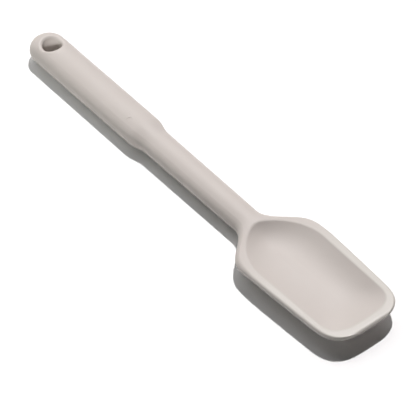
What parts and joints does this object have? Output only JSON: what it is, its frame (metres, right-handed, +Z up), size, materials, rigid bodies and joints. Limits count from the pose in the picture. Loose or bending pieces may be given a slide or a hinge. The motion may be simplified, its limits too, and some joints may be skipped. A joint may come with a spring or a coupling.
{
  "type": "silicone spatula",
  "caption": "All-silicone spoon spatula: rounded grip with a hang hole, slim neck, and a shallow round-cornered bowl with a polished lip.",
  "frame": {"origin": "middle of the bounding box in plan, on the plane the spatula lies on", "axes": "+X from the hang hole towards the tip of the bowl, +Z up out of the open bowl, +Y to the left seen from the hang end"},
  "size_m": [0.267, 0.0504, 0.0138],
  "materials": {
    "silicone": "satin silicone in a pale warm grey, with a glossier polished lip",
    "core": "glass-filled nylon, unseen inside the silicone"
  },
  "bodies": {
    "root": {"silicone_body": "silicone", "stiff_core": "core"}
  },
  "joints": []
}
